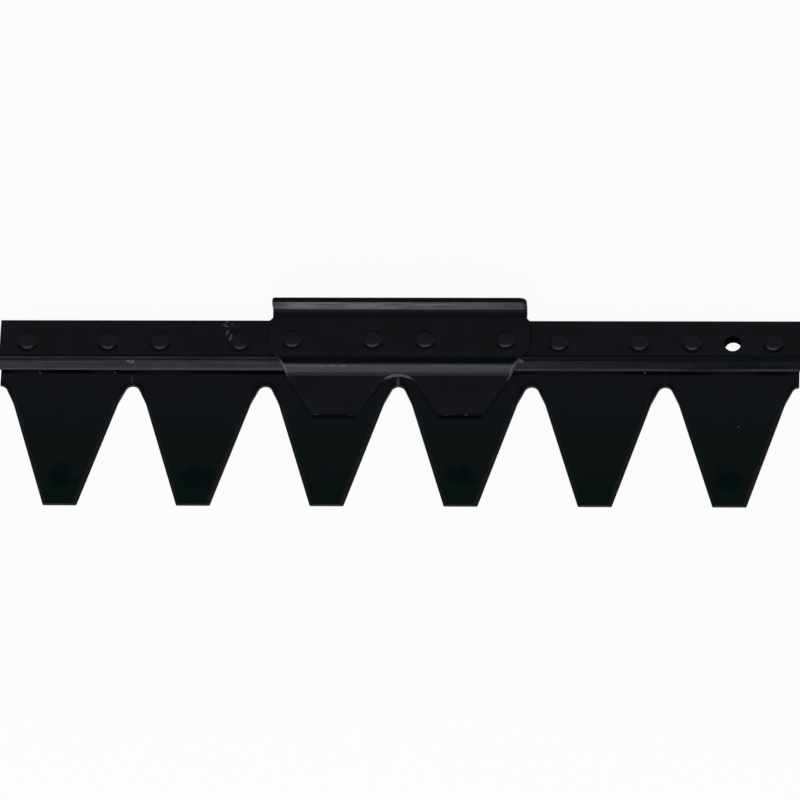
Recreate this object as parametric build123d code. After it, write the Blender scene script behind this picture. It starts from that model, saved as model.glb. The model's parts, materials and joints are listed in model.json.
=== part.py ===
"""Sickle bar mower knife: six cutting sections riveted under a bevelled bar, with a pressed drive head.

Millimetres. The knife lies flat: the undersides of the sections are at Z = 0, X runs along the bar and the
teeth point to -Y. The origin is the middle of the bounding box, at the bottom. Depths are measured from the
back edge of the bar towards the teeth.
"""
from build123d import *
from math import cos, hypot, radians, sin, sqrt, tan
import os

# Cutting sections
SECTION_COUNT = 6
SECTION_PITCH = 76.2
SECTION_THICKNESS = 2.5
SECTION_SETBACK = 1.0
SEAM_GAP = 0.1
NOTCH_ROOT_RADIUS = 4.2
NOTCH_FLANK_ANGLE = 25.6
NOTCH_FLANK_DEPTH = 11.2
NOTCH_BEHIND_TIP = 75.5
NOTCH_AHEAD_OF_BAR = 9.4
TIP_WIDTH = 19.2
TIP_CORNER_RADIUS = 1.0
EDGE_BEVEL_WIDTH = 2.0
EDGE_LAND = 0.6

# Bar
BAR_WIDTH = 29.2
BAR_THICKNESS = 6.0
BAR_BEVEL_RUN = 5.8
BAR_BEVEL_LAND = 0.6
BAR_EDGE_RADIUS = 0.5
BAR_END_MARGIN = 1.0

# Rivets and the plain hole
RIVET_DEPTH = 13.4
RIVET_SPACING = 46.1
SHANK_DIAMETER = 5.0
SHANK_CLEARANCE = 0.1
RIVET_HEAD_DIAMETER = 10.2
RIVET_HEAD_HEIGHT = 1.4
RIVET_FLAT_DIAMETER = 7.4
PLAIN_HOLE_DIAMETER = 9.6
PLAIN_HOLE_DEPTH = 14.4
PLAIN_HOLE_SECTION = SECTION_COUNT

# Pressed head
SHEET = 3.0
HEAD_NECK_WIDTH = 145.6
HEAD_FLARE = 1.7
HEAD_OVERHANG = 8.0
UPSTAND_HEIGHT = 10.0
UPSTAND_LEFT_CORNER_RADIUS = 2.2
UPSTAND_RIGHT_CORNER_RADIUS = 4.2
UPSTAND_BEND_RADIUS = 2.5
JOGGLE_ANGLE = 45.0
JOGGLE_TOP_RADIUS = 6.6
JOGGLE_FOOT_RADIUS = 3.0
JOGGLE_CLEARANCE = 0.2
SHOULDER_CHAMFER = 4.9
SHOULDER_SETBACK = 4.4
TONGUE_CENTRE = 36.2
TONGUE_FRONT_WIDTH = 24.8
TONGUE_LENGTH = 22.9
TONGUE_CORNER_RADIUS = 1.5
ARCH_WIDTH = 19.6
ARCH_RISE = 3.8
ARCH_SETBACK = 1.8
HEAD_SECTIONS = (SECTION_COUNT // 2, SECTION_COUNT // 2 + 1)

# Levels and depths that follow from the sizes above
BAR_TOP = SECTION_THICKNESS + BAR_THICKNESS
PLATE_TOP = BAR_TOP + SHEET
TONGUE_TOP = SECTION_THICKNESS + SHEET
UPSTAND_TOP = PLATE_TOP + UPSTAND_HEIGHT
BAR_TOP_WIDTH = BAR_WIDTH - BAR_BEVEL_RUN
BAR_LENGTH = SECTION_COUNT * SECTION_PITCH + 2 * BAR_END_MARGIN
NOTCH_DEPTH = BAR_WIDTH + NOTCH_AHEAD_OF_BAR
TIP_DEPTH = NOTCH_DEPTH + NOTCH_BEHIND_TIP
BAR_BACK_Y = (TIP_DEPTH - HEAD_OVERHANG) / 2
HOLE_RADIUS = SHANK_DIAMETER / 2 + SHANK_CLEARANCE

# Joggle corners of the head, measured on its lower face
MITRE = tan(radians(JOGGLE_ANGLE / 2))
JOGGLE_TOP_DEPTH = BAR_TOP_WIDTH + JOGGLE_CLEARANCE + JOGGLE_TOP_RADIUS * MITRE
JOGGLE_FOOT_DEPTH = JOGGLE_TOP_DEPTH + BAR_THICKNESS / tan(radians(JOGGLE_ANGLE))
TONGUE_ROOT_DEPTH = JOGGLE_FOOT_DEPTH + (SHEET + JOGGLE_FOOT_RADIUS) * MITRE
TONGUE_TIP_DEPTH = TONGUE_ROOT_DEPTH + TONGUE_LENGTH


def y_at(depth):
    """Y of a point this far in front of the bar's back edge."""
    return BAR_BACK_Y - depth


def section_centre(number):
    """X of the middle of a section, counted from 1 at the -X end."""
    return (number - (SECTION_COUNT + 1) / 2) * SECTION_PITCH


def rivet_places(number):
    """X of a section's two rivets."""
    half = RIVET_SPACING / 2
    return [section_centre(number) - half, section_centre(number) + half]


def drill(x, depth, radius, bottom, top):
    """A round cutter that runs past both levels."""
    spare = 1.0
    return Pos(x, y_at(depth), bottom - spare) * Cylinder(
        radius, top - bottom + 2 * spare, align=(Align.CENTER, Align.CENTER, Align.MIN))


def rivet_hole(x, bottom, top):
    """A cutter for a rivet's shank."""
    return drill(x, RIVET_DEPTH, HOLE_RADIUS, bottom, top)


def plain_hole(bottom, top):
    """A cutter for the plain hole in the last section."""
    return drill(section_centre(PLAIN_HOLE_SECTION), PLAIN_HOLE_DEPTH, PLAIN_HOLE_DIAMETER / 2, bottom, top)


def mirrored(half):
    """A half and its mirror image in X."""
    return half + mirror(half, about=Plane.YZ)


def cutting_edge():
    """Ends of the right-hand cutting edge, on a section that is centred on X = 0."""
    flank = radians(NOTCH_FLANK_ANGLE)
    tangent_x = SECTION_PITCH / 2 - NOTCH_ROOT_RADIUS * cos(flank)
    tangent_depth = NOTCH_DEPTH + NOTCH_ROOT_RADIUS * (1 - sin(flank))
    start_depth = NOTCH_DEPTH + NOTCH_FLANK_DEPTH
    start_x = tangent_x - (start_depth - tangent_depth) * tan(flank)
    tangent = Vector(tangent_x, y_at(tangent_depth))
    start = Vector(start_x, y_at(start_depth))
    return tangent, start, Vector(TIP_WIDTH / 2, y_at(TIP_DEPTH))


def section_outline():
    """Plan of one section: square root, rounded notch flanks and a tapered tooth with a cut-off tip."""
    tangent, start, tip = cutting_edge()
    side = (SECTION_PITCH - SEAM_GAP) / 2
    centre = Vector(SECTION_PITCH / 2, y_at(NOTCH_DEPTH + NOTCH_ROOT_RADIUS))
    seam = Vector(side, centre.Y + sqrt(NOTCH_ROOT_RADIUS ** 2 - (SEAM_GAP / 2) ** 2))
    chord = (seam + tangent) / 2 - centre
    middle = centre + chord.normalized() * NOTCH_ROOT_RADIUS
    back = y_at(SECTION_SETBACK)
    half = make_face([
        Polyline((0, tip.Y), (0, back), (side, back), (seam.X, seam.Y)),
        ThreePointArc(seam, middle, tangent),
        Polyline((tangent.X, tangent.Y), (start.X, start.Y), (tip.X, tip.Y), (0, tip.Y)),
    ])
    outline = mirrored(half)
    tip_corners = outline.vertices().group_by(Axis.Y)[0]
    return fillet(tip_corners, TIP_CORNER_RADIUS)


def edge_bevel():
    """Wedge that grinds the right-hand cutting edge from above, past the tip."""
    _, start, tip = cutting_edge()
    along = tip - start
    outward = Vector(-along.Y, along.X, 0).normalized()
    slope = (SECTION_THICKNESS - EDGE_LAND) / EDGE_BEVEL_WIDTH
    reach = EDGE_BEVEL_WIDTH
    high = SECTION_THICKNESS + reach * slope
    wedge = make_face(Polyline(
        (-EDGE_BEVEL_WIDTH - reach, high), (reach, EDGE_LAND - reach * slope), (reach, high), close=True))
    plane = Plane(origin=start, x_dir=outward, z_dir=along)
    return extrude(plane * wedge, hypot(along.X, along.Y) + TIP_WIDTH, dir=along.normalized())


def knife_section(number):
    """One stamped section with ground edges, two rivet holes and, on one section, the plain hole."""
    x = section_centre(number)
    body = extrude(section_outline(), SECTION_THICKNESS)
    grind = edge_bevel()
    body = Pos(x, 0, 0) * (body - grind - mirror(grind, about=Plane.YZ))
    for rivet_x in rivet_places(number):
        body -= rivet_hole(rivet_x, 0, SECTION_THICKNESS)
    if number == PLAIN_HOLE_SECTION:
        body -= plain_hole(0, SECTION_THICKNESS)
    return body


def knife_back():
    """The bar: a flat with a bevelled front, drilled for every rivet and the plain hole."""
    profile = make_face(Polyline(
        (y_at(0), SECTION_THICKNESS), (y_at(0), BAR_TOP), (y_at(BAR_TOP_WIDTH), BAR_TOP),
        (y_at(BAR_WIDTH), SECTION_THICKNESS + BAR_BEVEL_LAND), (y_at(BAR_WIDTH), SECTION_THICKNESS), close=True))
    bar = extrude(Plane.YZ * profile, BAR_LENGTH / 2, both=True)
    top_edges = bar.edges().filter_by(Axis.X).group_by(Axis.Z)[-1]
    bar = fillet(top_edges, BAR_EDGE_RADIUS)
    for number in range(1, SECTION_COUNT + 1):
        for rivet_x in rivet_places(number):
            bar -= rivet_hole(rivet_x, SECTION_THICKNESS, BAR_TOP)
    return bar - plain_hole(SECTION_THICKNESS, BAR_TOP)


def head_bend_profile():
    """Side view of the bent sheet: upstand, flat on the bar, joggle over the bevel and tongue."""
    shift = SHEET * MITRE
    profile = make_face(Polyline(
        (y_at(-HEAD_OVERHANG), UPSTAND_TOP), (y_at(-HEAD_OVERHANG), BAR_TOP),
        (y_at(JOGGLE_TOP_DEPTH), BAR_TOP), (y_at(JOGGLE_FOOT_DEPTH), SECTION_THICKNESS),
        (y_at(TONGUE_TIP_DEPTH), SECTION_THICKNESS), (y_at(TONGUE_TIP_DEPTH), TONGUE_TOP),
        (y_at(JOGGLE_FOOT_DEPTH + shift), TONGUE_TOP), (y_at(JOGGLE_TOP_DEPTH + shift), PLATE_TOP),
        (y_at(SHEET - HEAD_OVERHANG), PLATE_TOP), (y_at(SHEET - HEAD_OVERHANG), UPSTAND_TOP), close=True))
    bends = [
        (-HEAD_OVERHANG, BAR_TOP, UPSTAND_BEND_RADIUS + SHEET),
        (SHEET - HEAD_OVERHANG, PLATE_TOP, UPSTAND_BEND_RADIUS),
        (JOGGLE_TOP_DEPTH, BAR_TOP, JOGGLE_TOP_RADIUS),
        (JOGGLE_TOP_DEPTH + shift, PLATE_TOP, JOGGLE_TOP_RADIUS + SHEET),
        (JOGGLE_FOOT_DEPTH, SECTION_THICKNESS, JOGGLE_FOOT_RADIUS + SHEET),
        (JOGGLE_FOOT_DEPTH + shift, TONGUE_TOP, JOGGLE_FOOT_RADIUS),
    ]
    for depth, level, radius in bends:
        corner = profile.vertices().sort_by_distance((y_at(depth), level))[0]
        profile = fillet(corner, radius)
    return profile


def head_outline():
    """Plan of the head: neck behind the bar, flared body, shoulders and two tongues round an arch."""
    neck = HEAD_NECK_WIDTH / 2
    body = neck + HEAD_FLARE
    shoulder = BAR_TOP_WIDTH - SHOULDER_SETBACK
    tongue_out = TONGUE_CENTRE + TONGUE_FRONT_WIDTH / 2
    tongue_in = TONGUE_CENTRE - TONGUE_FRONT_WIDTH / 2
    front = y_at(TONGUE_TIP_DEPTH)
    crown = Vector(0, y_at(TONGUE_ROOT_DEPTH - ARCH_SETBACK))
    arch_side = Vector(ARCH_WIDTH / 2, crown.Y - ARCH_RISE)
    arch_radius = ((ARCH_WIDTH / 2) ** 2 / ARCH_RISE + ARCH_RISE) / 2
    half_way = Vector(ARCH_WIDTH / 4, crown.Y - arch_radius + sqrt(arch_radius ** 2 - (ARCH_WIDTH / 4) ** 2))
    half = make_face([
        Polyline(
            (0, crown.Y), (0, y_at(-HEAD_OVERHANG)), (neck, y_at(-HEAD_OVERHANG)), (neck, y_at(0)),
            (body, y_at(HEAD_FLARE)), (body, y_at(shoulder)),
            (body - SHOULDER_CHAMFER, y_at(shoulder + SHOULDER_CHAMFER)),
            (tongue_out, front), (tongue_in, front), (arch_side.X, arch_side.Y)),
        ThreePointArc(arch_side, half_way, crown),
    ])
    outline = mirrored(half)
    tongue_corners = outline.vertices().group_by(Axis.Y)[0]
    return fillet(tongue_corners, TONGUE_CORNER_RADIUS)


def knife_head():
    """The pressed head: the bent sheet trimmed to its plan, with rounded upstand ends and four rivet holes."""
    width = HEAD_NECK_WIDTH + 2 * HEAD_FLARE
    bent = extrude(Plane.YZ * head_bend_profile(), width / 2, both=True)
    head = bent & extrude(head_outline(), UPSTAND_TOP)
    for end, radius in ((0, UPSTAND_LEFT_CORNER_RADIUS), (-1, UPSTAND_RIGHT_CORNER_RADIUS)):
        corner = head.edges().filter_by(Axis.Y).group_by(Axis.Z)[-1].sort_by(Axis.X)[end]
        head = fillet(corner, radius)
    for number in HEAD_SECTIONS:
        for rivet_x in rivet_places(number):
            head -= rivet_hole(rivet_x, BAR_TOP, PLATE_TOP)
    return head


def rivet(x, seat):
    """A rivet whose low head sits on the given level and whose foot ends flush with the underside."""
    shank = SHANK_DIAMETER / 2
    top = seat + RIVET_HEAD_HEIGHT
    profile = make_face(Polyline(
        (0, 0), (shank, 0), (shank, seat),
        (RIVET_HEAD_DIAMETER / 2, seat), (RIVET_FLAT_DIAMETER / 2, top), (0, top), close=True))
    return Pos(x, y_at(RIVET_DEPTH), 0) * revolve(Plane.XZ * profile, Axis.Z)


def all_parts():
    """Every piece of the knife by name."""
    parts = {"knife_back": knife_back(), "knife_head": knife_head()}
    section_rivets = 0
    head_rivets = 0
    for number in range(1, SECTION_COUNT + 1):
        parts[f"knife_section_{number}"] = knife_section(number)
        for x in rivet_places(number):
            if number in HEAD_SECTIONS:
                head_rivets += 1
                parts[f"head_rivet_{head_rivets}"] = rivet(x, PLATE_TOP)
            else:
                section_rivets += 1
                parts[f"section_rivet_{section_rivets}"] = rivet(x, BAR_TOP)
    return parts


os.makedirs("parts", exist_ok=True)
for name, shape in all_parts().items():
    export_step(shape, f"parts/{name}.step")
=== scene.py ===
"""Looks, studio light and camera for the sickle bar mower knife.

Metres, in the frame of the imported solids: X runs along the bar, the teeth point to -Y and the knife lies
flat on the floor at Z = 0.
"""
import json
from math import atan2, cos, hypot, radians, sin

import bpy
from mathutils import Matrix, Vector

MM = 0.001

# Camera: a long lens from the front and above, angles in degrees
CAMERA_AZIMUTH = 10.428
CAMERA_ELEVATION = 63.04
CAMERA_ROLL = 0.139
CAMERA_DISTANCE = 5.18
CAMERA_LENS_MM = 409.06
CAMERA_SENSOR_MM = 36.0
CAMERA_CLIP_END = 100.0
AIM_RIGHT = 1.35 * MM
AIM_UP = 5.78 * MM

# Light: a room that is paler at the back, a wide panel at the front and a small one on the right
ROOM_BACK = 0.3
ROOM_FRONT = 0.12
ROOM_TURN = (0.12, 0.4)
PANEL_CENTRE = (-0.05, -1.1, 0.66)
PANEL_SIZE = (3.0, 0.72)
PANEL_WATTS = 23.0
FILL_CENTRE = (1.45, 0.22, 0.4)
FILL_SIZE = (0.5, 0.4)
FILL_WATTS = 1.0
FLOOR_SIZE = 40.0
FLOOR_DROP = 0.05 * MM
FLOOR_COLOUR = (238, 238, 238)
FLOOR_WHITE_SHARE = 0.94

# Paint colours, as they look in plain light; some stand for painted light and painted shade, as noted above
# them
BLACK = (16, 19, 23)
BLACK_LIGHT = (21, 23, 28)
BEVEL_BLACK = (3, 7, 18)
# Painted dark reflection on the band where the head's plate rolls over
BROW_DARK_REFLECTION = (6, 9, 10)
BROW_TEAL_REFLECTION = (0, 10, 9)
# Near-black for painted shade: corners, creases, round the rivets and notches, along the bar's front, on the
# flange and in front of the tongues
SHADE_BLACK = (3, 3, 4)
# Pale grey for paint worn off edges and for scratches, and for painted highlights on the bevel's foot, the
# rivets' fronts and two seams
WORN_AND_HIGHLIGHT = (92, 92, 96)
# Pale paint on faces that look to the front: painted light on partly worn paint
RUBBED_AND_LIT = (112, 113, 117)
RUBBED_AND_LIT_DARK = (80, 82, 86)
# Grey for painted light on the joggle's slope and on the rivets' backs, lighter as a painted highlight at the
# slope's top
LIT_GREY = (40, 41, 50)
SLOPE_HIGHLIGHT = (66, 67, 73)
TOOTH_ROOT = (24, 27, 31)
TOOTH_MIDDLE = (17, 24, 25)
TOOTH_TIP = (10, 22, 21)
TOOTH_PATCH = (0, 17, 16)
# Painted light on the cutting edges that face right
TOOTH_EDGE_LIT = (28, 26, 29)
# Painted shade for the wall of the plain hole
HOLE_SHADE = (6, 6, 7)
HOLE_SHADE_DEEP = (3, 3, 3)

# Sheen of the paint: specular level, and roughness from its smoothest to its dullest spots
PAINT_GLOSS = 0.15
TOOTH_GLOSS = 0.04
BAR_ROUGHNESS = (0.26, 0.32)
HEAD_ROUGHNESS = (0.22, 0.28)
SECTION_ROUGHNESS = (0.36, 0.44)
RIVET_ROUGHNESS = (0.3, 0.36)
HOLE_ROUGHNESS = 0.9
SHADE_DULLING = 0.55

# Grain of the paint: about how wide its blots, chips and pits are
MOTTLE_SIZE = 18.0 * MM
SATIN_SIZE = 6.0 * MM
CHIP_SIZE = 3.0 * MM
MARK_BREAK_SIZE = 0.5 * MM
EDGE_WEAR_WIDTH = 0.3 * MM
BUMP_STRENGTH = 0.5
BUMP_DEPTH = 0.03 * MM

# Places that the paint follows. A pair is where a mask starts and where it is full.
SECTION_PITCH = 76.2 * MM
BAR_TOP = 8.5 * MM
SHEET = 3.0 * MM

# On the bar: its bevel, a dark line of painted shade above that, and the plain hole, whose wall is painted
# shade
BEVEL_FOOT_Y = 23.85 * MM
BEVEL_FOOT_REACH = 1.1 * MM
BEVEL_DIP_Y = 28.35 * MM
BEVEL_DIP_REACH = 0.7 * MM
BEVEL_UPPER_Y = (BEVEL_DIP_Y - 0.2 * MM, BEVEL_DIP_Y + 0.3 * MM)
BEVEL_TOP_Y = 29.65 * MM
BEVEL_DULL_X = (-60.0 * MM, 230.0 * MM)
GROOVE_Y = BEVEL_TOP_Y + 0.6 * MM
GROOVE_REACH = 1.2 * MM
HOLE_CENTRE = (190.5 * MM, 38.65 * MM)
HOLE_REACH = 5.0 * MM
HOLE_NODES = ("knife_back", "knife_section_6")

# At the rivets: the crescent of painted shade in front of each head, and heights on its flank
RIVET_Y = 39.65 * MM
RIVET_FROM_SEAM = 15.05 * MM
CRESCENT_RADIUS = (7.8 * MM, 6.4 * MM)
CRESCENT_BACK = (-1.5 * MM, -3.5 * MM)
UPPER_FLANK = (0.65 * MM, 1.05 * MM)
LOWER_FLANK = (1.0 * MM, 0.7 * MM)

# On the head: the bends in front of its rivets, then the flange and the tongues
FRONT_BENDS_Y = (42.0 * MM, 38.0 * MM)
BROW_Y = (20.0 * MM, 24.0 * MM)
BROW_TEAL_X = (15.0 * MM, 50.0 * MM)
JOGGLE_TOP_Y = 23.7 * MM
JOGGLE_TOP_REACH = 1.0 * MM
JOGGLE_FOOT_Y = 20.4 * MM
JOGGLE_LANDING_Y = (JOGGLE_FOOT_Y + 0.8 * MM, JOGGLE_FOOT_Y)
JOGGLE_FADE_X = (-70.0 * MM, 72.0 * MM)
CUT_SIDE_Y = 22.5 * MM
CUT_SIDE_REACH = 7.0 * MM
FLANGE_DULL_Y = (53.5 * MM, 55.5 * MM)
FLANGE_SHADE_Y = (54.8 * MM, 55.6 * MM)
FLANGE_FADE_X = (-15.0 * MM, 75.0 * MM)
FLANGE_LEFT_X = (-73.0 * MM, -58.0 * MM)
FLANGE_CORNER_X = (70.4 * MM, 71.6 * MM)
RUBBED_AND_LIT_Y = (0.0, 10.0 * MM)
RUBBED_AND_LIT_MORE_Y = (18.0 * MM, 50.0 * MM)
TONGUES_Y = (10.0 * MM, 5.0 * MM)
TONGUE_CENTRE = 36.2 * MM
TONGUE_HALF_WIDTH = 12.4 * MM
TONGUE_SHADE_X = (TONGUE_HALF_WIDTH + 0.8 * MM, TONGUE_HALF_WIDTH - 0.4 * MM)
TONGUE_FRONT_Y = -4.67 * MM
TONGUE_SHADE_Y = (TONGUE_FRONT_Y - 2.6 * MM, TONGUE_FRONT_Y - 1.6 * MM)

# On the sections
ROOT_Y = (-26.0 * MM, 11.0 * MM)
TIP_Y = (-36.0 * MM, -60.0 * MM)
TINT_WANDER = 20.0 * MM
PATCH_Y = -43.5 * MM
PATCH_REACH = (9.0 * MM, 7.5 * MM)
FAINT_PATCHES = (-0.5 * SECTION_PITCH, 1.5 * SECTION_PITCH)
FAINT_REACH = 40.0 * MM
NOTCH_Y = 10.25 * MM
NOTCH_SHADE = (9.0 * MM, 4.0 * MM)
NOTCH_WANDER = 6.0 * MM
LIT_EDGE_Y = (5.0 * MM, -35.0 * MM)
UNDER_BAR_Y = (BEVEL_FOOT_Y - 3.3 * MM, BEVEL_FOOT_Y - 1.7 * MM)

# Scratches, chips and two painted highlights along seams, in millimetres: start, end, width, strength
BAR_MARKS = [
    ((-98.6, 53.1), (-100.2, 51.2), 1.4, 0.8),
    ((-102.3, 50.8), (-98.1, 48.4), 1.6, 0.65),
    ((-97.0, 51.4), (-95.5, 49.0), 1.6, 0.3),
    ((-98.0, 47.4), (-99.8, 43.0), 1.5, 0.65),
    ((-96.1, 44.8), (-97.4, 39.2), 1.9, 0.75),
    ((-156.8, 28.0), (-153.2, 27.2), 1.3, 0.65),
    ((-154.8, 27.0), (-151.4, 27.7), 1.5, 0.75),
    ((67.6, 28.4), (71.6, 27.6), 2.0, 0.7),
    ((68.2, 31.2), (69.2, 30.4), 1.2, 0.4),
]
HEAD_MARKS = [
    ((-45.0, 23.3), (-41.4, 23.4), 0.8, 0.6),
    ((-40.0, 23.6), (-34.8, 23.6), 0.9, 0.7),
    ((-33.4, 23.5), (-28.8, 23.6), 0.8, 0.6),
    ((-68.4, 27.8), (-63.5, 19.8), 1.6, 0.7),
    ((67.6, 26.6), (63.4, 19.8), 1.5, 0.45),
]
SECTION_MARKS = [
    ((-206.6, 23.4), (-205.6, 20.8), 0.9, 0.6),
    ((-163.7, 23.5), (-162.4, 20.9), 0.9, 0.5),
    ((139.9, 23.9), (141.1, 22.0), 1.1, 0.8),
    ((194.0, -11.3), (195.6, -11.3), 0.9, 0.8),
    # The next two are painted highlights along the seams at X = 0 and X = -152.4
    ((-0.3, 21.0), (-0.2, 12.6), 1.8, 0.6),
    ((-153.6, 21.0), (-152.6, 14.4), 1.5, 0.18),
]


def linear(colour):
    """An 8-bit sRGB colour as the linear RGBA that a shader socket takes."""
    def channel(value):
        value /= 255
        return value / 12.92 if value <= 0.04045 else ((value + 0.055) / 1.055) ** 2.4
    return (*[channel(value) for value in colour], 1.0)


class Paint:
    """A material being built, with short calls for the nodes that it uses."""

    def __init__(self, name):
        self.material = bpy.data.materials.new(name)
        self.material.use_nodes = True
        self.tree = self.material.node_tree
        self.shader = self.tree.nodes["Principled BSDF"]
        self.place = self.node("ShaderNodeTexCoord").outputs["Object"]
        self.normal = self.node("ShaderNodeNewGeometry").outputs["Normal"]
        self.x, self.y, self.z = self.parts(self.place)
        self.facing_x, self.facing_y, self.facing_z = self.parts(self.normal)

    def node(self, kind, **settings):
        node = self.tree.nodes.new(kind)
        for key, value in settings.items():
            setattr(node, key, value)
        return node

    def feed(self, socket, source):
        """Links an output to a socket, or sets the socket to a plain value."""
        if isinstance(source, bpy.types.NodeSocket):
            self.tree.links.new(source, socket)
        else:
            socket.default_value = source

    def parts(self, vector):
        """The three components of a vector."""
        node = self.node("ShaderNodeSeparateXYZ")
        self.feed(node.inputs[0], vector)
        return node.outputs

    def math(self, operation, first, second=0.0):
        node = self.node("ShaderNodeMath", operation=operation)
        self.feed(node.inputs[0], first)
        self.feed(node.inputs[1], second)
        return node.outputs[0]

    def less(self, value, start):
        """The value, counted from a start."""
        return self.math("SUBTRACT", value, start)

    def times(self, product, *factors):
        """The product of several values."""
        for factor in factors:
            product = self.math("MULTIPLY", product, factor)
        return product

    def total(self, total, *terms):
        """The sum of several values."""
        for term in terms:
            total = self.math("ADD", total, term)
        return total

    def ramp(self, value, low, high, to_low=0.0, to_high=1.0):
        """A smooth step from to_low at low to to_high at high."""
        node = self.node("ShaderNodeMapRange", interpolation_type="SMOOTHSTEP")
        for socket, source in zip(node.inputs, (value, low, high, to_low, to_high)):
            self.feed(socket, source)
        return node.outputs[0]

    def band(self, value, centre, reach):
        """1 at the centre, fading to 0 at this reach to both sides."""
        away = self.math("ABSOLUTE", self.less(value, centre))
        return self.ramp(away, reach, 0.3 * reach)

    def flat(self):
        """1 on faces that look straight up."""
        return self.ramp(self.facing_z, 0.9, 0.98)

    def blend(self, factor, first, second):
        """A colour between two colours."""
        node = self.node("ShaderNodeMix", data_type="RGBA")
        self.feed(node.inputs[0], factor)
        self.feed(node.inputs[6], first)
        self.feed(node.inputs[7], second)
        return node.outputs[2]

    def moved(self, location=(0, 0, 0), turn=0.0, scale=(1, 1, 1)):
        """Coordinates with their origin at location, turned about Z, in units of scale."""
        node = self.node("ShaderNodeMapping", vector_type="TEXTURE")
        self.feed(node.inputs["Vector"], self.place)
        node.inputs["Location"].default_value = location
        node.inputs["Rotation"].default_value = (0, 0, turn)
        node.inputs["Scale"].default_value = scale
        return node.outputs[0]

    def noise(self, size, detail=2.0, stretch=(1, 1, 1)):
        """Noise whose features are about this many metres across, stretched along the axes."""
        node = self.node("ShaderNodeTexNoise")
        self.feed(node.inputs["Vector"], self.moved(scale=[size * s for s in stretch]))
        node.inputs["Scale"].default_value = 1.0
        node.inputs["Detail"].default_value = detail
        return node.outputs[0]

    def edges(self, radius):
        """1 along sharp edges, fading over the radius."""
        bevel = self.node("ShaderNodeBevel", samples=6)
        bevel.inputs["Radius"].default_value = radius
        dot = self.node("ShaderNodeVectorMath", operation="DOT_PRODUCT")
        self.feed(dot.inputs[0], bevel.outputs[0])
        self.feed(dot.inputs[1], self.normal)
        return self.ramp(dot.outputs["Value"], 0.99, 0.9)

    def openness(self, distance):
        """0 in tight corners, 1 where nothing is near."""
        node = self.node("ShaderNodeAmbientOcclusion", samples=8)
        node.inputs["Distance"].default_value = distance
        return self.ramp(node.outputs["AO"], 0.4, 0.9)

    def away(self, across, down):
        """Distance from the point where both lengths are nought."""
        return self.math("SQRT", self.total(self.times(across, across), self.times(down, down)))

    def mark(self, start, end, width, strength):
        """A mask for one listed mark, given in millimetres."""
        centre = [(a + b) / 2 * MM for a, b in zip(start, end)]
        along = [b - a for a, b in zip(start, end)]
        size = (hypot(*along) / 2 * MM, width / 2 * MM, 1.0)
        length = self.node("ShaderNodeVectorMath", operation="LENGTH")
        self.feed(length.inputs[0], self.moved((*centre, 0.0), atan2(along[1], along[0]), size))
        return self.ramp(length.outputs["Value"], 1.0, 0.65, 0.0, strength)

    def marks(self, listed_marks):
        """A mask for all the listed marks, broken up by fine noise."""
        strongest = 0.0
        for listed_mark in listed_marks:
            strongest = self.math("MAXIMUM", strongest, self.mark(*listed_mark))
        return self.times(strongest, self.ramp(self.noise(MARK_BREAK_SIZE), 0.25, 0.5))

    def finish(self, colour, roughness, gloss, bump_height):
        """Wires colour, roughness and bump to the shader and returns the material."""
        bump = self.node("ShaderNodeBump")
        bump.inputs["Strength"].default_value = BUMP_STRENGTH
        bump.inputs["Distance"].default_value = BUMP_DEPTH
        self.feed(bump.inputs["Height"], bump_height)
        self.feed(self.shader.inputs["Normal"], bump.outputs[0])
        self.feed(self.shader.inputs["Base Color"], colour)
        self.feed(self.shader.inputs["Roughness"], roughness)
        self.shader.inputs["Specular IOR Level"].default_value = gloss
        return self.material


def black_coat(paint):
    """Black paint with a soft mottle, as a colour."""
    mottle = paint.ramp(paint.noise(MOTTLE_SIZE, 4.0), 0.35, 0.65)
    return paint.blend(mottle, linear(BLACK), linear(BLACK_LIGHT))


def aged_and_shaded(paint, colour, corner, wear, listed_marks=()):
    """The coat with painted shade in its corners, some paint worn off its edges, and the listed marks."""
    open_share = paint.openness(corner)
    # Painted shade: the coat turns near-black in tight corners
    colour = paint.blend(open_share, linear(SHADE_BLACK), colour)
    patchy = paint.ramp(paint.noise(CHIP_SIZE, 3.0), 0.5, 0.68)
    worn = paint.times(paint.edges(EDGE_WEAR_WIDTH), patchy, open_share, wear)
    colour = paint.blend(worn, colour, linear(WORN_AND_HIGHLIGHT))
    if listed_marks:
        colour = paint.blend(paint.marks(listed_marks), colour, linear(WORN_AND_HIGHLIGHT))
    return colour


def satin(paint, low, high):
    """Roughness that wanders between two values."""
    return paint.ramp(paint.noise(SATIN_SIZE, 3.0), 0.3, 0.7, low, high)


def from_seam(paint):
    """Distance along the bar from the nearest seam between two sections."""
    return paint.math("PINGPONG", paint.x, SECTION_PITCH / 2)


def rivet_shade(paint):
    """A mask for the crescent of painted shade in front of each rivet head, which is also made duller."""
    across = paint.less(from_seam(paint), RIVET_FROM_SEAM)
    back = paint.less(paint.y, RIVET_Y)
    ring = paint.ramp(paint.away(across, back), *CRESCENT_RADIUS)
    return paint.times(ring, paint.ramp(back, *CRESCENT_BACK))


def bevel_dulling(paint, bevel, lines):
    """What makes the bevel rougher: its dip, the strip above that, its drawn lines and its right end."""
    dip = paint.times(bevel, paint.band(paint.y, BEVEL_DIP_Y, BEVEL_DIP_REACH), 0.35)
    upper = paint.times(bevel, paint.ramp(paint.y, *BEVEL_UPPER_Y), 0.12)
    drawn = paint.times(bevel, paint.ramp(lines, 0.4, 0.65), 0.15)
    right = paint.times(bevel, paint.ramp(paint.x, *BEVEL_DULL_X, 0.0, 0.44))
    return dip, upper, drawn, right


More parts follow.
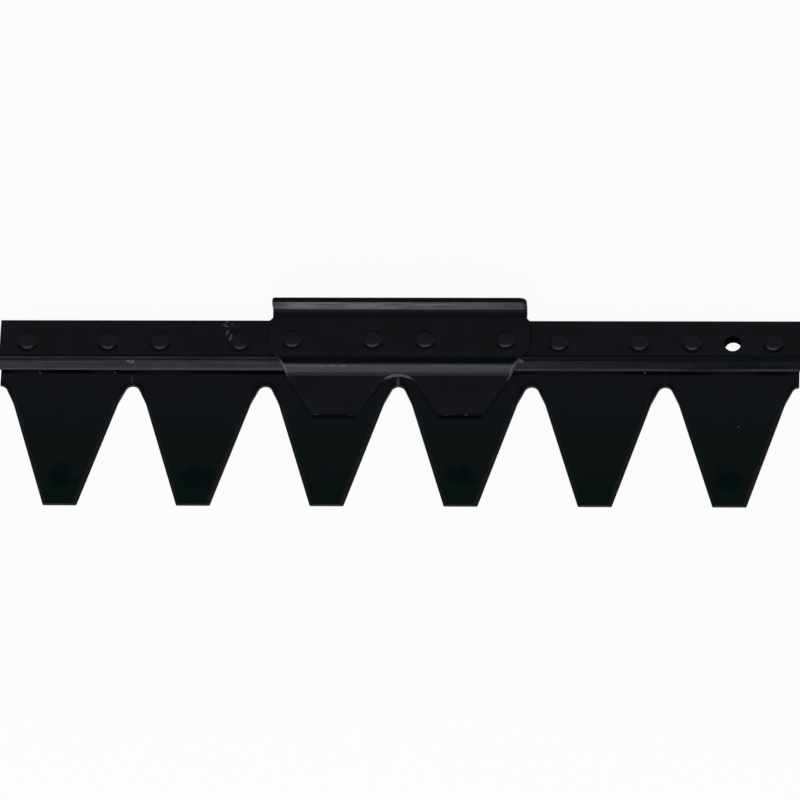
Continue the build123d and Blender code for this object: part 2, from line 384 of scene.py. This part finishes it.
def bar_paint():
    """Black paint; the bevel has drawn lines along it and a painted highlight along its foot, with painted
    shade round the rivets and behind the bevel.
    """
    paint = Paint("bar_paint")
    bevel = paint.ramp(paint.facing_y, -0.3, -0.5)
    lines = paint.noise(1.2 * MM, 3.0, stretch=(40, 1, 1))
    foot = paint.band(paint.y, BEVEL_FOOT_Y, BEVEL_FOOT_REACH)
    foot = paint.times(bevel, foot, paint.ramp(lines, 0.35, 0.6))
    colour = paint.blend(bevel, black_coat(paint), linear(BEVEL_BLACK))
    # Painted highlight: a pale line along the bevel's foot
    colour = paint.blend(paint.times(foot, 0.35), colour, linear(WORN_AND_HIGHLIGHT))
    shade = rivet_shade(paint)
    # Painted shade: a dark line along the bar's top just behind the bevel
    groove_shade = paint.times(paint.flat(), paint.band(paint.y, GROOVE_Y, GROOVE_REACH))
    colour = paint.blend(paint.math("MAXIMUM", shade, groove_shade), colour, linear(SHADE_BLACK))
    colour = aged_and_shaded(paint, colour, corner=0.6 * MM, wear=0.35, listed_marks=BAR_MARKS)
    roughness = paint.total(
        satin(paint, *BAR_ROUGHNESS),
        *bevel_dulling(paint, bevel, lines),
        paint.times(shade, SHADE_DULLING),
        paint.times(groove_shade, 0.4),
    )
    return paint.finish(colour, roughness, PAINT_GLOSS, paint.noise(0.9 * MM, 3.0, stretch=(4, 1, 1)))


def joggle_foot(paint, lean):
    """A mask for the bend where the joggle lands on the sections."""
    landing = paint.ramp(paint.y, *JOGGLE_LANDING_Y)
    return paint.times(landing, paint.ramp(lean, 0.02, 0.6), paint.ramp(paint.facing_z, 0.3, 0.6))


def bent_coat(paint, lean, foot):
    """Black paint with a painted dark reflection where the plate starts to bend down, and grey painted light
    on the joggle's slope, partly worn paint, with a painted highlight along its top.
    """
    front_bends = paint.ramp(paint.y, *FRONT_BENDS_Y)
    # Painted dark reflection on the band where the plate rolls over
    brow_reflection = paint.times(paint.ramp(lean, 0.02, 0.16), paint.ramp(paint.y, *BROW_Y), front_bends)
    teal = paint.blend(paint.ramp(paint.x, *BROW_TEAL_X), linear(BROW_DARK_REFLECTION), linear(BROW_TEAL_REFLECTION))
    drawn = paint.ramp(paint.noise(1.5 * MM, 3.0, stretch=(25, 1, 1)), 0.3, 0.65, 0.6, 1.0)
    # Painted light on the joggle's slope and its landing, partly worn paint, fading to the right, with a
    # painted highlight along its top
    slope = paint.math("MAXIMUM", paint.ramp(lean, 0.45, 0.52), foot)
    slope = paint.times(slope, drawn, front_bends, paint.ramp(paint.x, *JOGGLE_FADE_X, 1.0, 0.65))
    top = paint.band(paint.y, JOGGLE_TOP_Y, JOGGLE_TOP_REACH)
    grey = paint.blend(top, linear(LIT_GREY), linear(SLOPE_HIGHLIGHT))
    return paint.blend(slope, paint.blend(brow_reflection, black_coat(paint), teal), grey)


def rubbed_and_lit_coat(paint):
    """Paint worn pale in streaks, which also stands for painted light on faces that look to the front, as a
    colour.
    """
    streaks = paint.ramp(paint.noise(4 * MM, 4.0, stretch=(5, 1, 0.4)), 0.35, 0.6)
    return paint.blend(streaks, linear(RUBBED_AND_LIT_DARK), linear(RUBBED_AND_LIT))


def rubbed_and_lit_share(paint):
    """How far an upright face is worn pale and given painted light: most on the left of the flange, in chips
    on the tongues.
    """
    fade = paint.times(
        paint.ramp(paint.x, *FLANGE_FADE_X, 1.0, 0.42),
        paint.ramp(paint.x, *FLANGE_LEFT_X, 0.5, 1.0),
        paint.ramp(paint.x, *FLANGE_CORNER_X, 1.0, 0.3),
    )
    behind = paint.times(paint.ramp(paint.y, *RUBBED_AND_LIT_Y), paint.ramp(paint.y, *RUBBED_AND_LIT_MORE_Y, 0.75, 1.0))
    chips = paint.ramp(paint.noise(CHIP_SIZE, 2.0), 0.56, 0.7, 0.0, 0.3)
    return paint.math("MAXIMUM", paint.times(behind, fade), chips)


def head_paint():
    """Black paint, with grey painted light on the joggle's slope and pale painted light on the upright faces
    that look to the front, both partly worn paint, and painted shade in front of the rivets, on the tongues'
    fronts and on the flange.
    """
    paint = Paint("head_paint")
    lean = paint.times(paint.facing_y, -1.0)
    foot = joggle_foot(paint, lean)
    colour = bent_coat(paint, lean, foot)
    forward = paint.ramp(lean, 0.8, 0.92)
    tongue_front = paint.times(forward, paint.ramp(paint.y, *TONGUES_Y))
    # Painted shade on the front faces of the tongues
    colour = paint.blend(paint.times(tongue_front, 0.6), colour, linear(SHADE_BLACK))
    rubbed_and_lit = rubbed_and_lit_coat(paint)
    upright = paint.times(paint.ramp(paint.facing_z, 0.48, 0.2), forward)
    # Painted light on upright faces that look to the front, on partly worn paint
    colour = paint.blend(paint.times(upright, rubbed_and_lit_share(paint)), colour, rubbed_and_lit)
    # Painted light on the cut sides of the head by the joggle, on partly worn paint
    sideways = paint.ramp(paint.math("ABSOLUTE", paint.facing_x), 0.5, 0.75)
    cut_side = paint.times(sideways, paint.band(paint.y, CUT_SIDE_Y, CUT_SIDE_REACH), 0.9)
    colour = paint.blend(cut_side, colour, rubbed_and_lit)
    shade = rivet_shade(paint)
    # Painted shade on the flange's upward faces at the back, joined with the painted shade in front of the
    # rivets
    flange_shade = paint.times(paint.ramp(paint.y, *FLANGE_SHADE_Y), paint.ramp(paint.facing_z, 0.35, 0.55), 0.6)
    painted_shade = paint.math("MAXIMUM", paint.times(shade, paint.flat()), flange_shade)
    colour = paint.blend(painted_shade, colour, linear(SHADE_BLACK))
    colour = aged_and_shaded(paint, colour, corner=0.6 * MM, wear=0.35, listed_marks=HEAD_MARKS)
    roughness = paint.total(
        satin(paint, *HEAD_ROUGHNESS),
        paint.ramp(paint.y, *FLANGE_DULL_Y, 0.0, 0.45),
        paint.times(tongue_front, -0.16),
        paint.times(shade, SHADE_DULLING),
        paint.times(foot, 0.4),
    )
    return paint.finish(colour, roughness, PAINT_GLOSS, paint.noise(0.9 * MM, 3.0))


def tooth_tint(paint, wander):
    """Blue-black at the root of a tooth, greener towards its tip."""
    along = paint.total(paint.y, paint.times(wander, TINT_WANDER))
    colour = paint.blend(paint.ramp(along, *ROOT_Y), linear(TOOTH_MIDDLE), linear(TOOTH_ROOT))
    return paint.blend(paint.ramp(along, *TIP_Y), colour, linear(TOOTH_TIP))


def tooth_patch(paint, wander, seam):
    """A mask for the dark patch near each tip, faint on two of the teeth."""
    across = paint.math("DIVIDE", paint.less(SECTION_PITCH / 2, seam), PATCH_REACH[0])
    down = paint.math("DIVIDE", paint.less(paint.y, PATCH_Y), PATCH_REACH[1])
    patch = paint.ramp(paint.total(paint.away(across, down), paint.times(wander, 2.5)), 1.25, 0.35)
    for centre in FAINT_PATCHES:
        faded = paint.times(paint.band(paint.x, centre, FAINT_REACH), 0.8)
        patch = paint.times(patch, paint.less(1.0, faded))
    return patch


def notch_shade(paint, wander, seam):
    """A mask for the painted shade round each notch."""
    away = paint.away(seam, paint.less(paint.y, NOTCH_Y))
    return paint.ramp(paint.total(away, paint.times(wander, NOTCH_WANDER)), *NOTCH_SHADE, 0.0, 0.6)


def bar_contact_shade(paint):
    """A mask for the painted shade along the front of the bar, where the sections meet it."""
    patchy = paint.ramp(paint.noise(6 * MM, 3.0, stretch=(3, 1, 1)), 0.35, 0.6, 0.35, 1.0)
    return paint.times(paint.ramp(paint.y, *UNDER_BAR_Y), patchy)


def tongue_shade(paint):
    """A mask for the painted shadow in front of the head's tongues."""
    from_centre = paint.math("ABSOLUTE", paint.less(paint.math("ABSOLUTE", paint.x), TONGUE_CENTRE))
    return paint.times(paint.ramp(from_centre, *TONGUE_SHADE_X), paint.ramp(paint.y, *TONGUE_SHADE_Y), 0.7)


def section_paint():
    """Blue-black steel that turns greener towards the tip, with a dark patch on each tooth."""
    paint = Paint("section_paint")
    wander = paint.less(paint.noise(9 * MM, 3.0), 0.5)
    seam = from_seam(paint)
    colour = tooth_tint(paint, wander)
    colour = paint.blend(tooth_patch(paint, wander, seam), colour, linear(TOOTH_PATCH))
    colour = paint.blend(notch_shade(paint, wander, seam), colour, linear(SHADE_BLACK))
    # Painted light on the cutting edges that face right
    lit_edge = paint.times(paint.ramp(paint.facing_x, 0.25, 0.5), paint.ramp(paint.y, *LIT_EDGE_Y, 0.3, 1.0))
    colour = paint.blend(lit_edge, colour, linear(TOOTH_EDGE_LIT))
    colour = paint.blend(bar_contact_shade(paint), colour, linear(SHADE_BLACK))
    colour = paint.blend(tongue_shade(paint), colour, linear(SHADE_BLACK))
    colour = aged_and_shaded(paint, colour, corner=0.8 * MM, wear=0.3, listed_marks=SECTION_MARKS)
    return paint.finish(colour, satin(paint, *SECTION_ROUGHNESS), TOOTH_GLOSS, paint.noise(0.8 * MM, 3.0))


def rivet_paint():
    """Black paint: dull on the head's upper flank, painted lighter at the back as painted light, and a little
    paler at the front as a painted highlight on worn paint.
    """
    paint = Paint("rivet_paint")
    height = paint.math("MODULO", paint.less(paint.z, BAR_TOP), SHEET)
    # Painted light: the back of each rivet head is lighter grey
    lit_back = paint.ramp(paint.facing_y, -0.2, 0.3, 0.0, 0.6)
    colour = paint.blend(lit_back, black_coat(paint), linear(LIT_GREY))
    # Painted highlight on the front of the lower flank, on worn paint
    rubbed_and_lit = paint.times(paint.ramp(paint.facing_y, -0.2, -0.5), paint.ramp(height, *LOWER_FLANK), 0.02)
    colour = paint.blend(rubbed_and_lit, colour, linear(WORN_AND_HIGHLIGHT))
    colour = aged_and_shaded(paint, colour, corner=0.4 * MM, wear=0.3)
    upper = paint.times(paint.ramp(paint.facing_z, 0.95, 0.85), paint.ramp(height, *UPPER_FLANK))
    roughness = paint.total(satin(paint, *RIVET_ROUGHNESS), paint.times(upper, 0.5))
    return paint.finish(colour, roughness, PAINT_GLOSS, paint.noise(0.7 * MM, 2.0))


def hole_shade_paint():
    """Dull black painted shade for the wall of the plain hole."""
    paint = Paint("hole_shade_paint")
    colour = paint.blend(paint.noise(2 * MM, 3.0), linear(HOLE_SHADE_DEEP), linear(HOLE_SHADE))
    return paint.finish(colour, HOLE_ROUGHNESS, 0.0, paint.noise(0.7 * MM, 2.0))


def blacken_hole(solid, material):
    """Gives the wall of the plain hole its own paint, which is painted shade."""
    solid.data.materials.append(material)
    for face in solid.data.polygons:
        away = hypot(face.center.x - HOLE_CENTRE[0], face.center.y - HOLE_CENTRE[1])
        if away < HOLE_REACH and abs(face.normal.z) < 0.3:
            face.material_index = 1


def paint_nodes(frame):
    """Gives every solid the paint that the record names for it."""
    paints = {
        "bar_paint": bar_paint(),
        "head_paint": head_paint(),
        "section_paint": section_paint(),
        "rivet_paint": rivet_paint(),
    }
    hole = hole_shade_paint()
    for part in frame["record"]["subparts"]:
        solid = frame["nodes"][part["node"]]
        solid.data.materials.clear()
        solid.data.materials.append(paints[part["material_slot"]])
        if part["node"] in HOLE_NODES:
            blacken_hole(solid, hole)


def floor_material():
    """White floor that keeps the shadow, lifted towards white where it is only looked at."""
    material = bpy.data.materials.new("floor")
    material.use_nodes = True
    tree = material.node_tree
    tree.nodes.clear()
    new, join = tree.nodes.new, tree.links.new
    path = new("ShaderNodeLightPath")
    seen = path.outputs["Is Camera Ray"]
    for ray in ("Is Glossy Ray", "Is Transmission Ray"):
        either = new("ShaderNodeMath")
        either.operation = "MAXIMUM"
        join(seen, either.inputs[0])
        join(path.outputs[ray], either.inputs[1])
        seen = either.outputs[0]
    share = new("ShaderNodeMath")
    share.operation = "MULTIPLY"
    share.inputs[1].default_value = FLOOR_WHITE_SHARE
    join(seen, share.inputs[0])
    diffuse = new("ShaderNodeBsdfDiffuse")
    diffuse.inputs["Color"].default_value = linear(FLOOR_COLOUR)
    white = new("ShaderNodeEmission")
    mix = new("ShaderNodeMixShader")
    for source, socket in zip((share, diffuse, white), mix.inputs):
        join(source.outputs[0], socket)
    join(mix.outputs[0], new("ShaderNodeOutputMaterial").inputs["Surface"])
    return material


def add_floor():
    """A wide floor just under the knife."""
    half = FLOOR_SIZE / 2
    corners = [(-half, -half, 0), (half, -half, 0), (half, half, 0), (-half, half, 0)]
    mesh = bpy.data.meshes.new("floor")
    mesh.from_pydata(corners, [], [(0, 1, 2, 3)])
    mesh.materials.append(floor_material())
    floor = bpy.data.objects.new("floor", mesh)
    floor.location.z = -FLOOR_DROP
    bpy.context.scene.collection.objects.link(floor)


def add_room():
    """Soft light from all round, stronger from the back."""
    world = bpy.data.worlds.new("room")
    world.use_nodes = True
    tree = world.node_tree
    direction = tree.nodes.new("ShaderNodeTexCoord")
    split = tree.nodes.new("ShaderNodeSeparateXYZ")
    level = tree.nodes.new("ShaderNodeMapRange")
    for socket, value in zip(level.inputs[1:5], (*ROOM_TURN, ROOM_FRONT, ROOM_BACK)):
        socket.default_value = value
    background = tree.nodes["Background"]
    tree.links.new(direction.outputs["Generated"], split.inputs[0])
    tree.links.new(split.outputs["Y"], level.inputs["Value"])
    tree.links.new(level.outputs[0], background.inputs["Strength"])
    background.inputs["Color"].default_value = (1, 1, 1, 1)
    bpy.context.scene.world = world


def add_panel(name, centre, size, watts):
    """A rectangular light that faces the knife."""
    light = bpy.data.lights.new(name, "AREA")
    light.shape = "RECTANGLE"
    light.size, light.size_y = size
    light.energy = watts
    panel = bpy.data.objects.new(name, light)
    panel.location = centre
    panel.rotation_mode = "QUATERNION"
    panel.rotation_quaternion = (-Vector(centre)).to_track_quat("-Z", "Y")
    bpy.context.scene.collection.objects.link(panel)


def add_camera():
    """Looks down on the knife along the photograph's line of sight."""
    a, e, roll = radians(CAMERA_AZIMUTH), radians(CAMERA_ELEVATION), radians(CAMERA_ROLL)
    back = Vector((sin(a) * cos(e), -cos(a) * cos(e), sin(e)))
    level = (Vector((1, 0, 0)) - back * back.x).normalized()
    upright = back.cross(level)
    right = level * cos(roll) + upright * sin(roll)
    up = upright * cos(roll) - level * sin(roll)
    data = bpy.data.cameras.new("camera")
    data.sensor_width = CAMERA_SENSOR_MM
    data.lens = CAMERA_LENS_MM
    data.clip_end = CAMERA_CLIP_END
    camera = bpy.data.objects.new("camera", data)
    place = back * CAMERA_DISTANCE + right * AIM_RIGHT + up * AIM_UP
    turn = Matrix((right, up, back)).transposed().to_4x4()
    camera.matrix_world = Matrix.Translation(place) @ turn
    bpy.context.scene.collection.objects.link(camera)
    bpy.context.scene.camera = camera


with open("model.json") as file:
    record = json.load(file)
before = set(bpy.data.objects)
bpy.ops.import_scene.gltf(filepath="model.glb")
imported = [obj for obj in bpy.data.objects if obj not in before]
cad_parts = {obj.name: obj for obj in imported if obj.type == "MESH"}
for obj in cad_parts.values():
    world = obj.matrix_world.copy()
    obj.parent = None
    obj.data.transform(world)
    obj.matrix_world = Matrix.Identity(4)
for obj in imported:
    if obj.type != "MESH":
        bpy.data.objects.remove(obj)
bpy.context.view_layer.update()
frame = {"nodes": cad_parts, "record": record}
bpy.context.scene.view_settings.view_transform = "Standard"
paint_nodes(frame)
add_floor()
add_room()
add_panel("front_panel", PANEL_CENTRE, PANEL_SIZE, PANEL_WATTS)
add_panel("right_fill", FILL_CENTRE, FILL_SIZE, FILL_WATTS)
add_camera()
